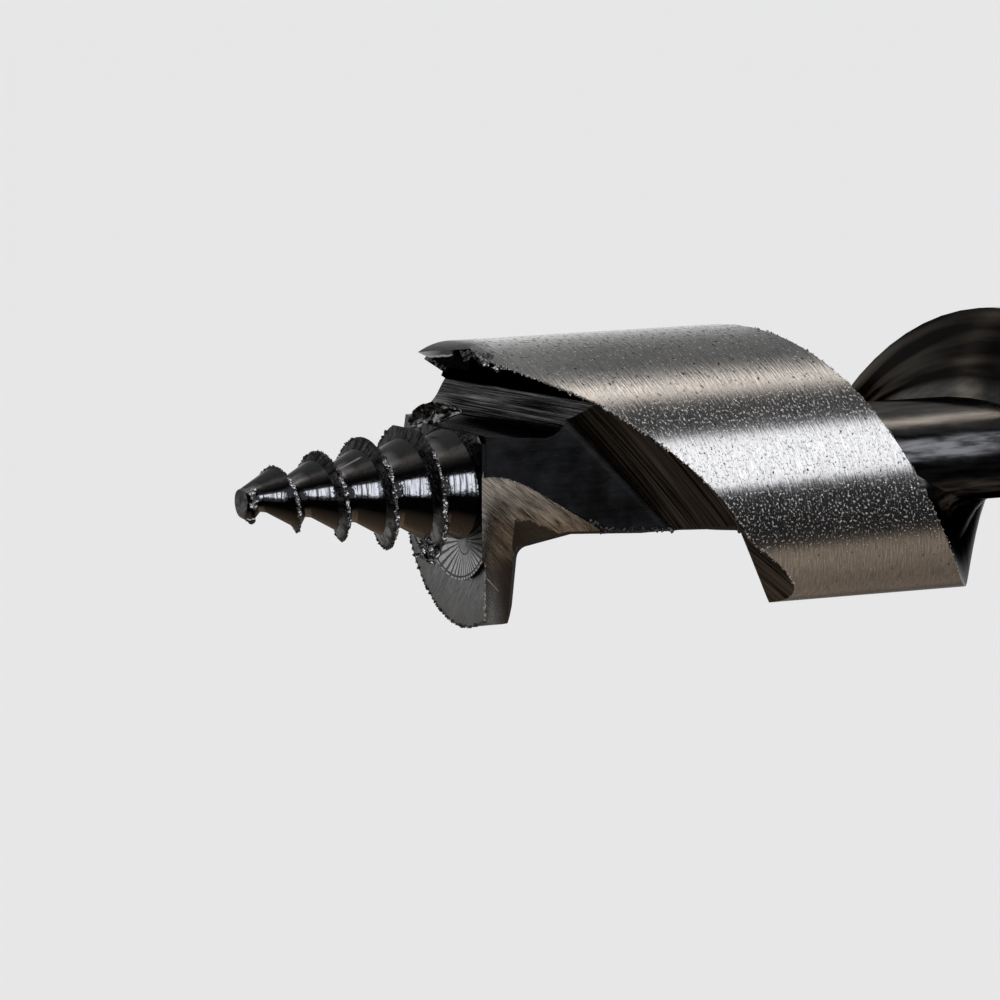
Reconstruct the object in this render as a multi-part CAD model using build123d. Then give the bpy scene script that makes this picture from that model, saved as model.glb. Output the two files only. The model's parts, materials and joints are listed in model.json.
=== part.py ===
from build123d import *
import os
from math import cos, pi, radians, sin, sqrt, tan

# Single-twist solid-centre auger bit for wood, turned and milled from one bar.
# While it is shaped, x = 0 is the cutting face and the shank points along +X.
# Roll angles run from +Z through -Y, the sense in which the right-hand twist turns.
# Lengths are in millimetres and angles in degrees.

# Driving sizes of the whole bit
cutting_diameter = 20.0
overall_length = 235.0
screw_length = 16.4
twist_length = 137.0
shoulder_length = 3.0
shoulder_cone_length = 6.0
neck_diameter = 10.0
shank_length = 40.0
shank_across_flats = 11.1
shank_chamfer = 1.2
chamfer_play = 0.01

# Twist
lead = 37.75
land_width = 16.7
core_diameter = 7.6
web_lean = 3.9
floor_fillet = 3.4
trailing_hollow = 0.9
core_cover = 0.15
lip_roll = 157.6
runout_radius = 42.0
stock_allowance = 1.0

# Hub behind the cutting face
hub_diameter = 9.3
hub_length = 13.0
hub_cone_length = 11.0
face_disc_diameter = 13.4
face_disc_height = 0.3

# Pocket between the spur and the cutting face, milled across the bit
pocket_swivel = 16.5
pocket_depth = 4.7
pocket_floor = 3.45
pocket_floor_slope = 5.0
pocket_fillet = 1.7
pocket_run_up = 4.6
pocket_ceiling = 8.7
pocket_ceiling_slope = 28.4

# Land over the pocket
roof_length = 10.0

# Flat wall where the disc cutter entered the flute
entry_normal = (0.62, 0.496, 0.607)
entry_height = 4.3
entry_end = 19.0
entry_base = -4.0

# Spur
spur_height = 4.0
spur_bevel_height = 1.7
spur_base_radius = 8.4
spur_bevel_radius = 8.8
spur_roll = 12.5
spur_arc = 30.0
spur_back_slope = 43.0
spur_overlap = 2.5
heel_normal = (0.547, -0.094, 0.832)
heel_height = 6.08
heel_end = 2.0
heel_base = 5.0

# Cutting lip, and the gullet behind it
lip_offset = 4.7
lip_block_length = 15.5
lip_block_depth = 3.0
lip_block_top = 4.9
lip_block_stock = 0.05
gullet_swivel = 26.5
gullet_dip = 11.3
gullet_start = 4.35
gullet_front_lean = 6.0
gullet_end = 21.85
gullet_floor = 4.8
gullet_crest = 8.5
gullet_crest_rise = 0.75
gullet_wall_lean = 23.5
gullet_fillet = 0.9
facet_normal = (0.44, 0.36, 0.82)
facet_height = 1.48
facet_start = 16.0
facet_end = 26.0
facet_top = -3.4

# Hollow-ground rake face: at each station three points from the hub down, each as (depth behind
# the lip plane, z), then the depth at the foot
rake_face = (
    (-face_disc_height, (0.0, 1.1), (0.0, -2.0), (0.0, -6.0), 0.0),
    (1.5, (0.02, 0.95), (0.7, -2.0), (1.4, -5.0), 1.7),
    (3.0, (-0.05, 0.35), (0.9, -1.8), (2.4, -5.0), 3.1),
    (5.0, (0.05, -0.8), (1.3, -2.7), (2.8, -5.0), 3.9),
    (7.5, (0.6, -2.3), (2.1, -3.5), (3.3, -5.0), 4.5),
    (10.5, (2.6, -4.25), (3.2, -4.7), (3.6, -5.2), 5.1),
)

# Lead screw
screw_pitch = 3.3
screw_tip_radius = 0.70
screw_root_taper = 9.8
screw_run_in = 1.0
crest_tip_radius = 1.44
crest_taper = 14.2
flank_front = 0.45
flank_rear = 0.75
root_rise = 0.7
thread_sink = 0.12
thread_gap = 0.03

radius = cutting_diameter / 2
stock_radius = radius + stock_allowance
core_radius = core_diameter / 2
degrees_per_mm = 360 / lead
land_arc = land_width * degrees_per_mm
shank_end = overall_length - screw_length


def rolled(roll, r, x=0.0):
    """Point at a roll angle and a distance from the axis."""
    return Vector(x, -r * sin(radians(roll)), r * cos(radians(roll)))


def beyond(origin, normal, reach=60.0):
    """Block that fills the space on the normal's side of a plane."""
    return Plane(origin=origin, z_dir=normal) * Box(
        2 * reach, 2 * reach, reach, align=(Align.CENTER, Align.CENTER, Align.MIN)
    )


def bar(start, end, r=stock_radius):
    """Round bar on the axis between two stations."""
    return Plane(origin=(start, 0, 0), z_dir=(1, 0, 0)) * Cylinder(
        r, end - start, align=(Align.CENTER, Align.CENTER, Align.MIN)
    )


def turned(stations):
    """Solid of revolution about the axis through (x, radius) stations."""
    corners = [(x, r) for x, r in stations]
    outline = [(corners[0][0], 0.0)] + corners + [(corners[-1][0], 0.0)]
    return revolve(Plane.XY * make_face(Polyline(*outline, close=True)), Axis.X)


def web_section():
    """Section of the web at the cutting face, where the lip stands at lip_roll."""
    root = core_radius - core_cover
    lean_per_mm = web_lean / (radius - core_radius) * degrees_per_mm
    wall_foot = lip_roll + land_arc + lean_per_mm * (radius - root) - 360
    wall_top = lip_roll + land_arc - lean_per_mm * stock_allowance
    fillet_top = root + floor_fillet
    hollow = lip_roll + trailing_hollow * degrees_per_mm
    hollow_per_mm = trailing_hollow * degrees_per_mm / (radius - fillet_top)
    bend = radians(45)
    fillet_middle = hollow - floor_fillet * (1 - cos(bend)) * degrees_per_mm
    fillet_foot = hollow - floor_fillet * degrees_per_mm
    edge = lip_roll - hollow_per_mm * stock_allowance
    trailing = Line(rolled(edge, stock_radius), rolled(hollow, fillet_top))
    fillet_arc = ThreePointArc(
        rolled(hollow, fillet_top),
        rolled(fillet_middle, fillet_top - floor_fillet * sin(bend)),
        rolled(fillet_foot, root),
    )
    floor = ThreePointArc(
        rolled(fillet_foot, root), rolled((fillet_foot + wall_foot) / 2, root), rolled(wall_foot, root)
    )
    wall = Line(rolled(wall_foot, root), rolled(wall_top, stock_radius))
    land = ThreePointArc(
        rolled(wall_top, stock_radius),
        rolled((wall_top + edge) / 2, stock_radius),
        rolled(edge, stock_radius),
    )
    return make_face([trailing, fillet_arc, floor, wall, land])


def twist():
    """Web twisted at a constant lead, with stock left to grind."""
    return Solid.extrude_linear_with_rotation(
        web_section().face(), (0, 0, 0), (twist_length, 0, 0), twist_length * degrees_per_mm
    )


def hub():
    """Core of the twist, thicker behind the cutting face."""
    hub_radius = hub_diameter / 2
    return turned(
        [
            (0, hub_radius),
            (hub_length, hub_radius),
            (hub_length + hub_cone_length, core_radius),
            (twist_length, core_radius),
        ]
    )


def shaft():
    """Flute run-out, shoulder and neck, turned in one profile."""
    root = core_radius - core_cover
    rise = radius - root
    runout_length = sqrt(2 * runout_radius * rise - rise**2)
    runout_start = twist_length - runout_length
    bend = runout_length / runout_radius / 2
    middle = (runout_start + runout_radius * sin(bend), root + runout_radius * (1 - cos(bend)))
    shoulder_end = twist_length + shoulder_length
    cone_end = shoulder_end + shoulder_cone_length
    neck_radius = neck_diameter / 2
    neck_end = shank_end - shank_length / 2
    outline = [
        ThreePointArc((runout_start, root), middle, (twist_length, radius)),
        Polyline(
            (twist_length, radius),
            (shoulder_end, radius),
            (cone_end, neck_radius),
            (neck_end, neck_radius),
            (neck_end, 0),
            (runout_start, 0),
            (runout_start, root),
        ),
    ]
    return revolve(make_face(outline), Axis.X)


def shank():
    """Hexagonal shank with turned chamfers at both ends."""
    start = shank_end - shank_length
    corner_radius = shank_across_flats / 2 / cos(pi / 6)
    hexagon = Plane(origin=(start, 0, 0), x_dir=(0, 1, 0), z_dir=(1, 0, 0)) * RegularPolygon(
        corner_radius, 6
    )
    low = corner_radius - shank_chamfer
    chamfers = turned(
        [
            (start, low),
            (start + shank_chamfer, corner_radius + chamfer_play),
            (shank_end - shank_chamfer, corner_radius + chamfer_play),
            (shank_end, low),
        ]
    )
    return extrude(hexagon, shank_length) & chamfers


def pocket_plane():
    """Plane square to the milled pocket, on the axis at the cutting face."""
    swivel = radians(pocket_swivel)
    travel = (sin(swivel), -cos(swivel), 0)
    return Plane(origin=(0, 0, 0), x_dir=(cos(swivel), sin(swivel), 0), z_dir=travel)


def pocket_cut(start):
    """Pocket behind a station, its floor and ceiling falling to an upright back wall."""
    back = pocket_depth * cos(radians(pocket_swivel))
    rise = tan(radians(pocket_ceiling_slope))
    front = -radius
    floor_rise = (back - front) * tan(radians(pocket_floor_slope))
    corners = Polyline(
        (front, pocket_floor + floor_rise),
        (back, pocket_floor),
        (back, pocket_ceiling - rise * back),
        (front, pocket_ceiling - rise * front),
        close=True,
    )
    outline = make_face(corners)
    corner = outline.vertices().sort_by_distance((back, pocket_floor))[0]
    outline = fillet(corner, pocket_fillet)
    channel = extrude(pocket_plane() * outline, cutting_diameter, both=True)
    return channel & bar(start, cutting_diameter, cutting_diameter)


def roof():
    """Land that bridges from the spur to the twist above the pocket."""
    slope = radians(pocket_ceiling_slope)
    swivel = radians(pocket_swivel)
    upward = (sin(slope) * cos(swivel), sin(slope) * sin(swivel), cos(slope))
    return bar(0, roof_length) & beyond((0, 0, pocket_ceiling), upward)


def flute_entry():
    """Stock behind the flat wall where the disc cutter went in, ahead of the helical wall."""
    foot = Vector(*entry_normal).normalized() * entry_height
    body = bar(0, entry_end) & beyond(foot, entry_normal)
    body = body & beyond((0, 0, 0), (0, -1, 0))
    return body & beyond((0, 0, entry_base), (0, 0, 1))


def entry_cut():
    """Stock in front of the flat wall, down to the hub."""
    foot = Vector(*entry_normal).normalized() * entry_height
    body = bar(0, entry_end, cutting_diameter) - bar(0, entry_end, hub_diameter / 2)
    body = body & beyond((0, 0, 0), (0, -1, 0))
    body = body - beyond(foot, entry_normal)
    return body & beyond((0, 0, entry_base), (0, 0, 1))


def spur():
    """Pointed tooth that scores the rim of the hole ahead of the lip."""
    profile = Plane.XY * make_face(
        Polyline(
            (-spur_height, radius),
            (-spur_bevel_height, spur_bevel_radius),
            (0, spur_base_radius),
            (spur_overlap, spur_base_radius),
            (spur_overlap, stock_radius),
            (-spur_height, stock_radius),
            close=True,
        )
    )
    profile = Rot(90 + spur_roll, 0, 0) * profile
    ring = revolve(profile, Axis.X, revolution_arc=-spur_arc)
    slope = radians(spur_back_slope)
    away = (-sin(slope), cos(slope), 0)
    tip = rolled(spur_roll, radius, -spur_height)
    return ring - beyond(tip, away)


def heel_cut():
    """Bevel on the heel of the spur, on the side away from the lip."""
    foot = Vector(*heel_normal).normalized() * heel_height
    body = bar(-spur_height, heel_end) - beyond(foot, heel_normal)
    body = body & beyond((0, 0, 0), (0, 1, 0))
    return body & beyond((0, 0, heel_base), (0, 0, 1))


def face_disc():
    """Low round land that the screw stands on, flush with the rake face."""
    disc = bar(-face_disc_height, face_disc_height, face_disc_diameter / 2)
    disc = disc & beyond((0, -lip_offset, 0), (0, 1, 0))
    return disc & beyond((0, 0, pocket_floor), (0, 0, -1))


def lip_block():
    """Stock left between the hub and the cutting lip."""
    body = bar(0, lip_block_length)
    body = body & beyond((0, lip_block_depth, 0), (0, -1, 0))
    body = body & beyond((0, -lip_offset - lip_block_stock, 0), (0, 1, 0))
    return body & beyond((0, 0, lip_block_top), (0, 0, -1))


def rake_section(station, top, bend, knee, foot):
    """Section of the ground hollow, from its edge on the hub down past the land."""
    outside = -stock_radius - stock_allowance
    profile = (top, bend, knee, (foot, outside))
    points = [Vector(station, depth - lip_offset, z) for depth, z in profile]
    rest = Polyline(
        points[-1], (station, outside, outside), (station, outside, top[1] + stock_allowance), points[0]
    )
    return make_face([Spline(*points), rest]).face()


def rake_cut():
    """Hollow-ground rake face, square to the lip in front and falling in behind it."""
    return loft([rake_section(*section) for section in rake_face])


def gullet_cut():
    """Crosswise pocket that thins the lip and opens the throat below the core."""
    dip = radians(gullet_dip)
    swivel = radians(gullet_swivel)
    travel = Vector(cos(dip) * sin(swivel), cos(dip) * cos(swivel), -sin(dip))
    outside = -stock_radius - stock_allowance
    wall_run = (-gullet_floor - outside) * tan(radians(gullet_wall_lean))
    front_run = (-gullet_floor - outside) * tan(radians(gullet_front_lean))
    corners = Polyline(
        (gullet_start - front_run, outside),
        (gullet_start, -gullet_floor),
        (gullet_crest, -gullet_floor + gullet_crest_rise),
        (gullet_end, -gullet_floor),
        (gullet_end + wall_run, outside),
        close=True,
    )
    outline = make_face(corners)
    corner = outline.vertices().sort_by_distance((gullet_start, -gullet_floor))[0]
    outline = fillet(corner, gullet_fillet)
    section = Plane.XZ * outline
    return extrude(section, cutting_diameter, dir=travel, both=True)


def facet_cut():
    """Small ground facet where the gullet runs out through the land."""
    foot = Vector(*facet_normal).normalized() * facet_height
    body = bar(facet_start, facet_end) - beyond(foot, facet_normal)
    body = body & beyond((0, 0, 0), (0, -1, 0))
    return body & beyond((0, 0, facet_top), (0, 0, -1))


def screw_rail(start, r, taper):
    """Right-hand conical helix about the axis, growing towards the cutting face."""
    length = screw_length + screw_pitch + screw_run_in
    pitch_on_cone = screw_pitch / cos(radians(taper))
    return Edge.make_helix(pitch_on_cone, length, r, (start, 0, 0), (1, 0, 0), taper)


def screw_thread():
    """Ridge of the lead screw with the rising root band in front of it."""
    first = -screw_length - screw_pitch
    peak_foot = screw_pitch - flank_front - flank_rear
    peak = screw_pitch - flank_rear
    root_slope = tan(radians(screw_root_taper))
    crest_slope = tan(radians(crest_taper))
    root_start = screw_tip_radius - root_slope * screw_pitch
    crest_start = crest_tip_radius - crest_slope * (screw_pitch - peak)
    corners = [
        (thread_gap, root_start + root_slope * thread_gap - thread_sink, screw_root_taper),
        (peak_foot, root_start + root_slope * peak_foot + root_rise, screw_root_taper),
        (peak, crest_start, crest_taper),
        (screw_pitch - thread_gap, root_start + root_slope * screw_pitch - thread_sink, screw_root_taper),
    ]
    rails = [screw_rail(first + run, r, taper) for run, r, taper in corners]
    sides = []
    for rail, following in zip(rails, rails[1:] + rails[:1]):
        sides.append(Face.make_surface_from_curves(rail, following))
    caps = []
    for end in (0, 1):
        points = [rail @ end for rail in rails]
        caps.append(Face(Wire.make_polygon(points, close=True)))
    return Solid(Shell(sides + caps))


def lead_screw():
    """Tapered screw point, square at its tip."""
    tip = -screw_length
    root_end = screw_tip_radius + tan(radians(screw_root_taper)) * (screw_length + screw_run_in)
    core = turned([(tip, screw_tip_radius), (screw_run_in, root_end)])
    thread = screw_thread() & bar(tip, -face_disc_height + thread_sink)
    return core + thread


def build():
    """The whole bit, shaped at the cutting face and then set down on its land."""
    body = twist() + hub() - entry_cut()
    body = body + [roof(), flute_entry(), lip_block(), spur()]
    body = body - pocket_cut(0)
    body = body - gullet_cut()
    body = body - facet_cut()
    body = body - heel_cut()
    body = body + face_disc()
    body = body - rake_cut()
    body = body & bar(-screw_length, overall_length, radius)
    body = body + [shaft(), shank()]
    body = body + (lead_screw() - pocket_cut(-pocket_run_up))
    return Pos(screw_length - overall_length / 2, 0, radius) * body


if __name__ == "__main__":
    os.makedirs("parts", exist_ok=True)
    export_step(build(), "parts/auger_bit.step")
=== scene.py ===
import json
import random
from math import cos, degrees, hypot, pi, radians, sin

import bmesh
import bpy
from mathutils import Euler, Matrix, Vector, noise

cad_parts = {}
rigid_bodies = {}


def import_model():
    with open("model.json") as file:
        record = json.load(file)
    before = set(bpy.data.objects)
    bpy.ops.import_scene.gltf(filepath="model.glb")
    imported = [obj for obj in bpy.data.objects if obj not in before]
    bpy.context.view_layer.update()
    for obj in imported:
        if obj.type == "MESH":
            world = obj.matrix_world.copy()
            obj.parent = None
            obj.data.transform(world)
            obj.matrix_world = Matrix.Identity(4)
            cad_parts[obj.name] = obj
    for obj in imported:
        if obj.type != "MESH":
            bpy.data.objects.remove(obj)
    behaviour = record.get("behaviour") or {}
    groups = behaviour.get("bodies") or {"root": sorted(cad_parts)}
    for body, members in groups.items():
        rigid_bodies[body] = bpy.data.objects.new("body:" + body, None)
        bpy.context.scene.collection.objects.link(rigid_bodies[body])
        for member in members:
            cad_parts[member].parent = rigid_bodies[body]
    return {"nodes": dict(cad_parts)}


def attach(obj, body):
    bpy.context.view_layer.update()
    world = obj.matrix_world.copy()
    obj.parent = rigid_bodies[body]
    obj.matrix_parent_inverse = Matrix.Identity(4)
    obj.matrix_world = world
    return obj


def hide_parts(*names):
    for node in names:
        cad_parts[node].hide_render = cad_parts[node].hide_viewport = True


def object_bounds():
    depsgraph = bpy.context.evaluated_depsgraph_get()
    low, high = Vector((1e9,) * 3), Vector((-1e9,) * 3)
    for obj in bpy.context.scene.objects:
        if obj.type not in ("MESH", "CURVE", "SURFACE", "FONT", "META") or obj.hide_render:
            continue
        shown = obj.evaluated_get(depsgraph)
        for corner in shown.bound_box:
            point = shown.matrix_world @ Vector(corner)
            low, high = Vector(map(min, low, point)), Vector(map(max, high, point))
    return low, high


for leftover in list(bpy.data.objects):
    bpy.data.objects.remove(leftover)

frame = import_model()
cad_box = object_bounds()

# Lengths in this script are in millimetres in the cutting frame, unless a comment says metres:
# x = 0 is the cutting face and the axis of the bit lies along +X. Roll is the angle round that
# axis in radians: 0 at the top, growing towards the camera's side, and pi at the bottom.
MM = 0.001
RADIUS = 10.0
CORE_RADIUS = 3.8
HEAD_LENGTH = 24.0
TWIST_LENGTH = 137.0
SHOULDER_LENGTH = 3.0
HEX_START = 178.0

# Lead screw; a crest's radius grows by the slope for each millimetre from the tip
SCREW_LENGTH = 16.4
TIP_X = -SCREW_LENGTH
SCREW_PITCH = 3.3
CREST_TIP_RADIUS = 1.44
FIRST_LIP_RADIUS = 1.38
CREST_SLOPE = 0.253
CREST_PHASE = 0.80
SCREW_REACH = 6.0

# Where the cutting face and the axis are in the model's frame
FACE_X = round(cad_box[0][0] / MM, 3) + SCREW_LENGTH
AXIS_Z = RADIUS

# Flat faces near the cutting face, each as a normal and its distance from the axis point
ENTRY_WALL = (Vector((0.62, 0.496, 0.607)).normalized(), 4.3)
RUNOUT_FACET = (Vector((0.44, 0.36, 0.82)).normalized(), 1.48)
ENTRY_END = 19.0
DISC_HEIGHT = 0.3
DISC_RADIUS = 6.7
LIP_Y = -4.7
POCKET_TRAVEL = Vector((0.284, -0.959, 0.0))

# Direction in which the cutter of the gullet travelled. The dot products with GULLET_X and
# GULLET_Z give the x and z at which a line in that direction passes y = 0.
GULLET_TRAVEL = Vector((0.4376, 0.8776, -0.1959))
GULLET_X = Vector((1.0, -GULLET_TRAVEL.x / GULLET_TRAVEL.y, 0.0))
GULLET_Z = Vector((0.0, -GULLET_TRAVEL.z / GULLET_TRAVEL.y, 1.0))
GULLET_START = 4.35
GULLET_FLOOR = 4.8
GULLET_FILLET = 0.9
POCKET_FLOOR_Z = 3.3

rng = random.Random(7)


def to_frame(x, y, z):
    """Millimetres in the cutting frame to metres in the model's frame."""
    return Vector(((x + FACE_X) * MM, y * MM, (z + AXIS_Z) * MM))


def from_frame(point):
    """Metres in the model's frame to millimetres in the cutting frame."""
    return Vector((point.x / MM - FACE_X, point.y / MM, point.z / MM - AXIS_Z))


class Shader:
    """Material or world tree, with short names for its nodes. A field is a socket with one number."""

    def __init__(self, tree):
        self.tree = tree

    def node(self, kind, **settings):
        made = self.tree.nodes.new(kind)
        for key, value in settings.items():
            setattr(made, key, value)
        return made

    def feed(self, socket, value):
        """Sets a number or a colour on a socket, or links another socket to it."""
        if isinstance(value, (int, float)):
            socket.default_value = value
        elif isinstance(value, tuple):
            socket.default_value = (*value, 1) if len(socket.default_value) == 4 else value
        else:
            self.tree.links.new(value, socket)

    def math(self, operation, *values):
        made = self.node("ShaderNodeMath", operation=operation)
        for socket, value in zip(made.inputs, values):
            self.feed(socket, value)
        return made.outputs["Value"]

    def plus(self, first, second):
        return self.math("ADD", first, second)

    def minus(self, first, second):
        return self.math("SUBTRACT", first, second)

    def times(self, first, second):
        return self.math("MULTIPLY", first, second)

    def length(self, first, second):
        """Length of the vector that has these two parts."""
        return self.math("SQRT", self.plus(self.times(first, first), self.times(second, second)))

    def remap(self, value, low, high, out_low=0.0, out_high=1.0):
        """Straight ramp of a value, held at its ends."""
        made = self.node("ShaderNodeMapRange")
        limits = {"From Min": low, "From Max": high, "To Min": out_low, "To Max": out_high}
        for name, amount in limits.items():
            made.inputs[name].default_value = amount
        self.feed(made.inputs["Value"], value)
        return made.outputs["Result"]

    def band(self, value, low, high, soft):
        """1 between low and high, falling to 0 over the soft distance outside them."""
        rising = self.remap(value, low - soft, low)
        falling = self.remap(value, high, high + soft, 1.0, 0.0)
        return self.times(rising, falling)

    def vector(self, x, y, z=0.0):
        made = self.node("ShaderNodeCombineXYZ")
        for socket, value in zip(made.inputs, (x, y, z)):
            self.feed(socket, value)
        return made.outputs["Vector"]

    def grain(self, *scaled, layer=0.0, detail=3.0, roughness=0.6):
        """Noise over up to three fields, each given with its scale; a layer picks another pattern."""
        axes = [self.times(field, scale) for field, scale in scaled]
        made = self.node("ShaderNodeTexNoise")
        made.inputs["Scale"].default_value = 1.0
        made.inputs["Detail"].default_value = detail
        made.inputs["Roughness"].default_value = roughness
        self.feed(made.inputs["Vector"], self.vector(*(axes + [layer])[:3]))
        return made.outputs["Fac"]

    def cloud(self, *scales, detail=3.0, roughness=0.6):
        """Noise over the position, with one scale for each axis."""
        return self.grain(*zip((self.x, self.y, self.z), scales), detail=detail, roughness=roughness)

    def blend(self, fac, first, second):
        """Mix of two colours: the first where fac is 0."""
        made = self.node("ShaderNodeMix", data_type="RGBA")
        self.feed(made.inputs["Factor"], fac)
        self.feed(made.inputs[6], first)
        self.feed(made.inputs[7], second)
        return made.outputs[2]

    def place(self):
        """Position in the cutting frame, as fields x, y, z, roll and r."""
        position = self.node("ShaderNodeTexCoord")
        moved = self.node("ShaderNodeMapping", vector_type="POINT")
        moved.inputs["Scale"].default_value = (1 / MM, 1 / MM, 1 / MM)
        moved.inputs["Location"].default_value = (-FACE_X, 0, -AXIS_Z)
        self.feed(moved.inputs["Vector"], position.outputs["Object"])
        split = self.node("ShaderNodeSeparateXYZ")
        self.feed(split.inputs[0], moved.outputs["Vector"])
        self.position = moved.outputs["Vector"]
        self.x, self.y, self.z = split.outputs
        self.roll = self.math("ARCTAN2", self.times(self.y, -1.0), self.z)
        self.r = self.length(self.y, self.z)

    def along(self, direction):
        """Distance from the axis point along a direction."""
        made = self.node("ShaderNodeVectorMath", operation="DOT_PRODUCT")
        self.feed(made.inputs[0], self.position)
        made.inputs[1].default_value = direction
        return made.outputs["Value"]

    def thread_phase(self):
        """Part of a turn behind the thread's crest: 0 on one crest, 1 on the next."""
        turns = self.plus(self.times(self.x, 1 / SCREW_PITCH), self.times(self.roll, -0.5 / pi))
        whole_turns = 10.0
        return self.math("FRACT", self.plus(turns, whole_turns - CREST_PHASE))

    def bump(self, height, depth, strength=1.0, before=None):
        """Relief from a height field; depth is in millimetres."""
        made = self.node("ShaderNodeBump")
        made.inputs["Strength"].default_value = strength
        made.inputs["Distance"].default_value = depth * MM
        self.feed(made.inputs["Height"], height)
        if before is not None:
            self.feed(made.inputs["Normal"], before)
        return made.outputs["Normal"]


def metal(name, metallic=1.0, edge=1.0):
    """Steel; a low edge keeps a blackened surface dark at a glancing view."""
    material = bpy.data.materials.new(name)
    material.use_nodes = True
    shader = Shader(material.node_tree)
    shader.place()
    shader.out = material.node_tree.nodes["Principled BSDF"].inputs
    shader.out["Metallic"].default_value = metallic
    shader.out["Specular Tint"].default_value = (edge, edge, edge, 1)
    shader.material = material
    return shader


# Materials


def ground_land():
    """Bright outer face, ground round the axis, with pits, and raised specks whose white is a painted
    glint.
    """
    s = metal("ground_land")
    groove, ridge, even = (0.38, 0.375, 0.37), (0.70, 0.695, 0.69), (0.54, 0.53, 0.52)
    bright, glint_white = (0.92, 0.92, 0.91), (1.0, 1.0, 1.0)
    pit_brown, black = (0.06, 0.05, 0.043), (0.03, 0.03, 0.032)
    grinding_lean = -0.30
    lit_roll = 1.38
    arc = s.times(s.roll, RADIUS)
    lean = s.plus(s.x, s.times(arc, grinding_lean))
    streak = s.grain((lean, 8.0), (arc, 0.8))
    soft = s.grain((lean, 6.0), (arc, 0.7), layer=2.0, detail=2.0, roughness=0.5)
    broad = s.grain((s.x, 0.35), (arc, 0.35), layer=5.0)
    # Fewer specks away from the middle of the lit side, where their white is a painted glint, and more pits
    # towards the top
    off_middle = s.math("ABSOLUTE", s.plus(s.roll, -lit_roll))
    glint_speck = s.grain((lean, 6.4), (arc, 4.2), layer=3.0, detail=2.0)
    glint_speck = s.minus(glint_speck, s.remap(off_middle, 0.42, 0.80, 0.0, 0.05))
    upper = s.remap(s.roll, 0.95, 0.6)
    crown = s.remap(s.roll, 0.50, 0.15)
    pit_field = s.grain((lean, 3.4), (arc, 2.4), layer=9.0)
    pit_field = s.plus(pit_field, s.plus(s.times(upper, 0.035), s.times(crown, 0.05)))
    pits = s.remap(pit_field, 0.655, 0.69)
    # The grinding ends in a ragged line near the cutting face
    ragged_x = s.plus(s.plus(s.x, s.times(broad, 3.0)), s.times(streak, 4.0))
    ground = s.remap(ragged_x, 3.2, 5.4)
    colour = s.blend(s.remap(streak, 0.35, 0.65), groove, ridge)
    colour = s.blend(s.remap(broad, 0.3, 0.7, 0.0, 0.6), colour, even)
    colour = s.blend(s.remap(s.x, 9.0, 3.0, 0.0, 0.4), colour, bright)
    # Painted glints: the specks turn white
    colour = s.blend(s.remap(glint_speck, 0.58, 0.64), colour, glint_white)
    colour = s.blend(pits, colour, pit_brown)
    s.feed(s.out["Base Color"], s.blend(ground, black, colour))
    rough = s.plus(s.remap(streak, 0.3, 0.7, 0.12, 0.20), s.remap(broad, 0.3, 0.7, -0.02, 0.04))
    rough = s.plus(rough, s.remap(glint_speck, 0.58, 0.64, 0.0, -0.06))
    s.feed(s.out["Roughness"], s.plus(rough, s.remap(ground, 0.0, 1.0, 0.2, 0.0)))
    # The relief is calmer on the underside, which is in soft light
    calm = s.remap(s.roll, 2.05, 2.35, 1.0, 0.3)
    relief = s.bump(s.times(soft, calm), 0.017)
    relief = s.bump(s.times(streak, calm), 0.006, 1.0, relief)
    relief = s.bump(s.remap(glint_speck, 0.59, 0.68), 0.026, 1.0, relief)
    s.feed(s.out["Normal"], s.bump(s.times(pits, -1.0), 0.03, 0.8, relief))
    return s.material


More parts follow.
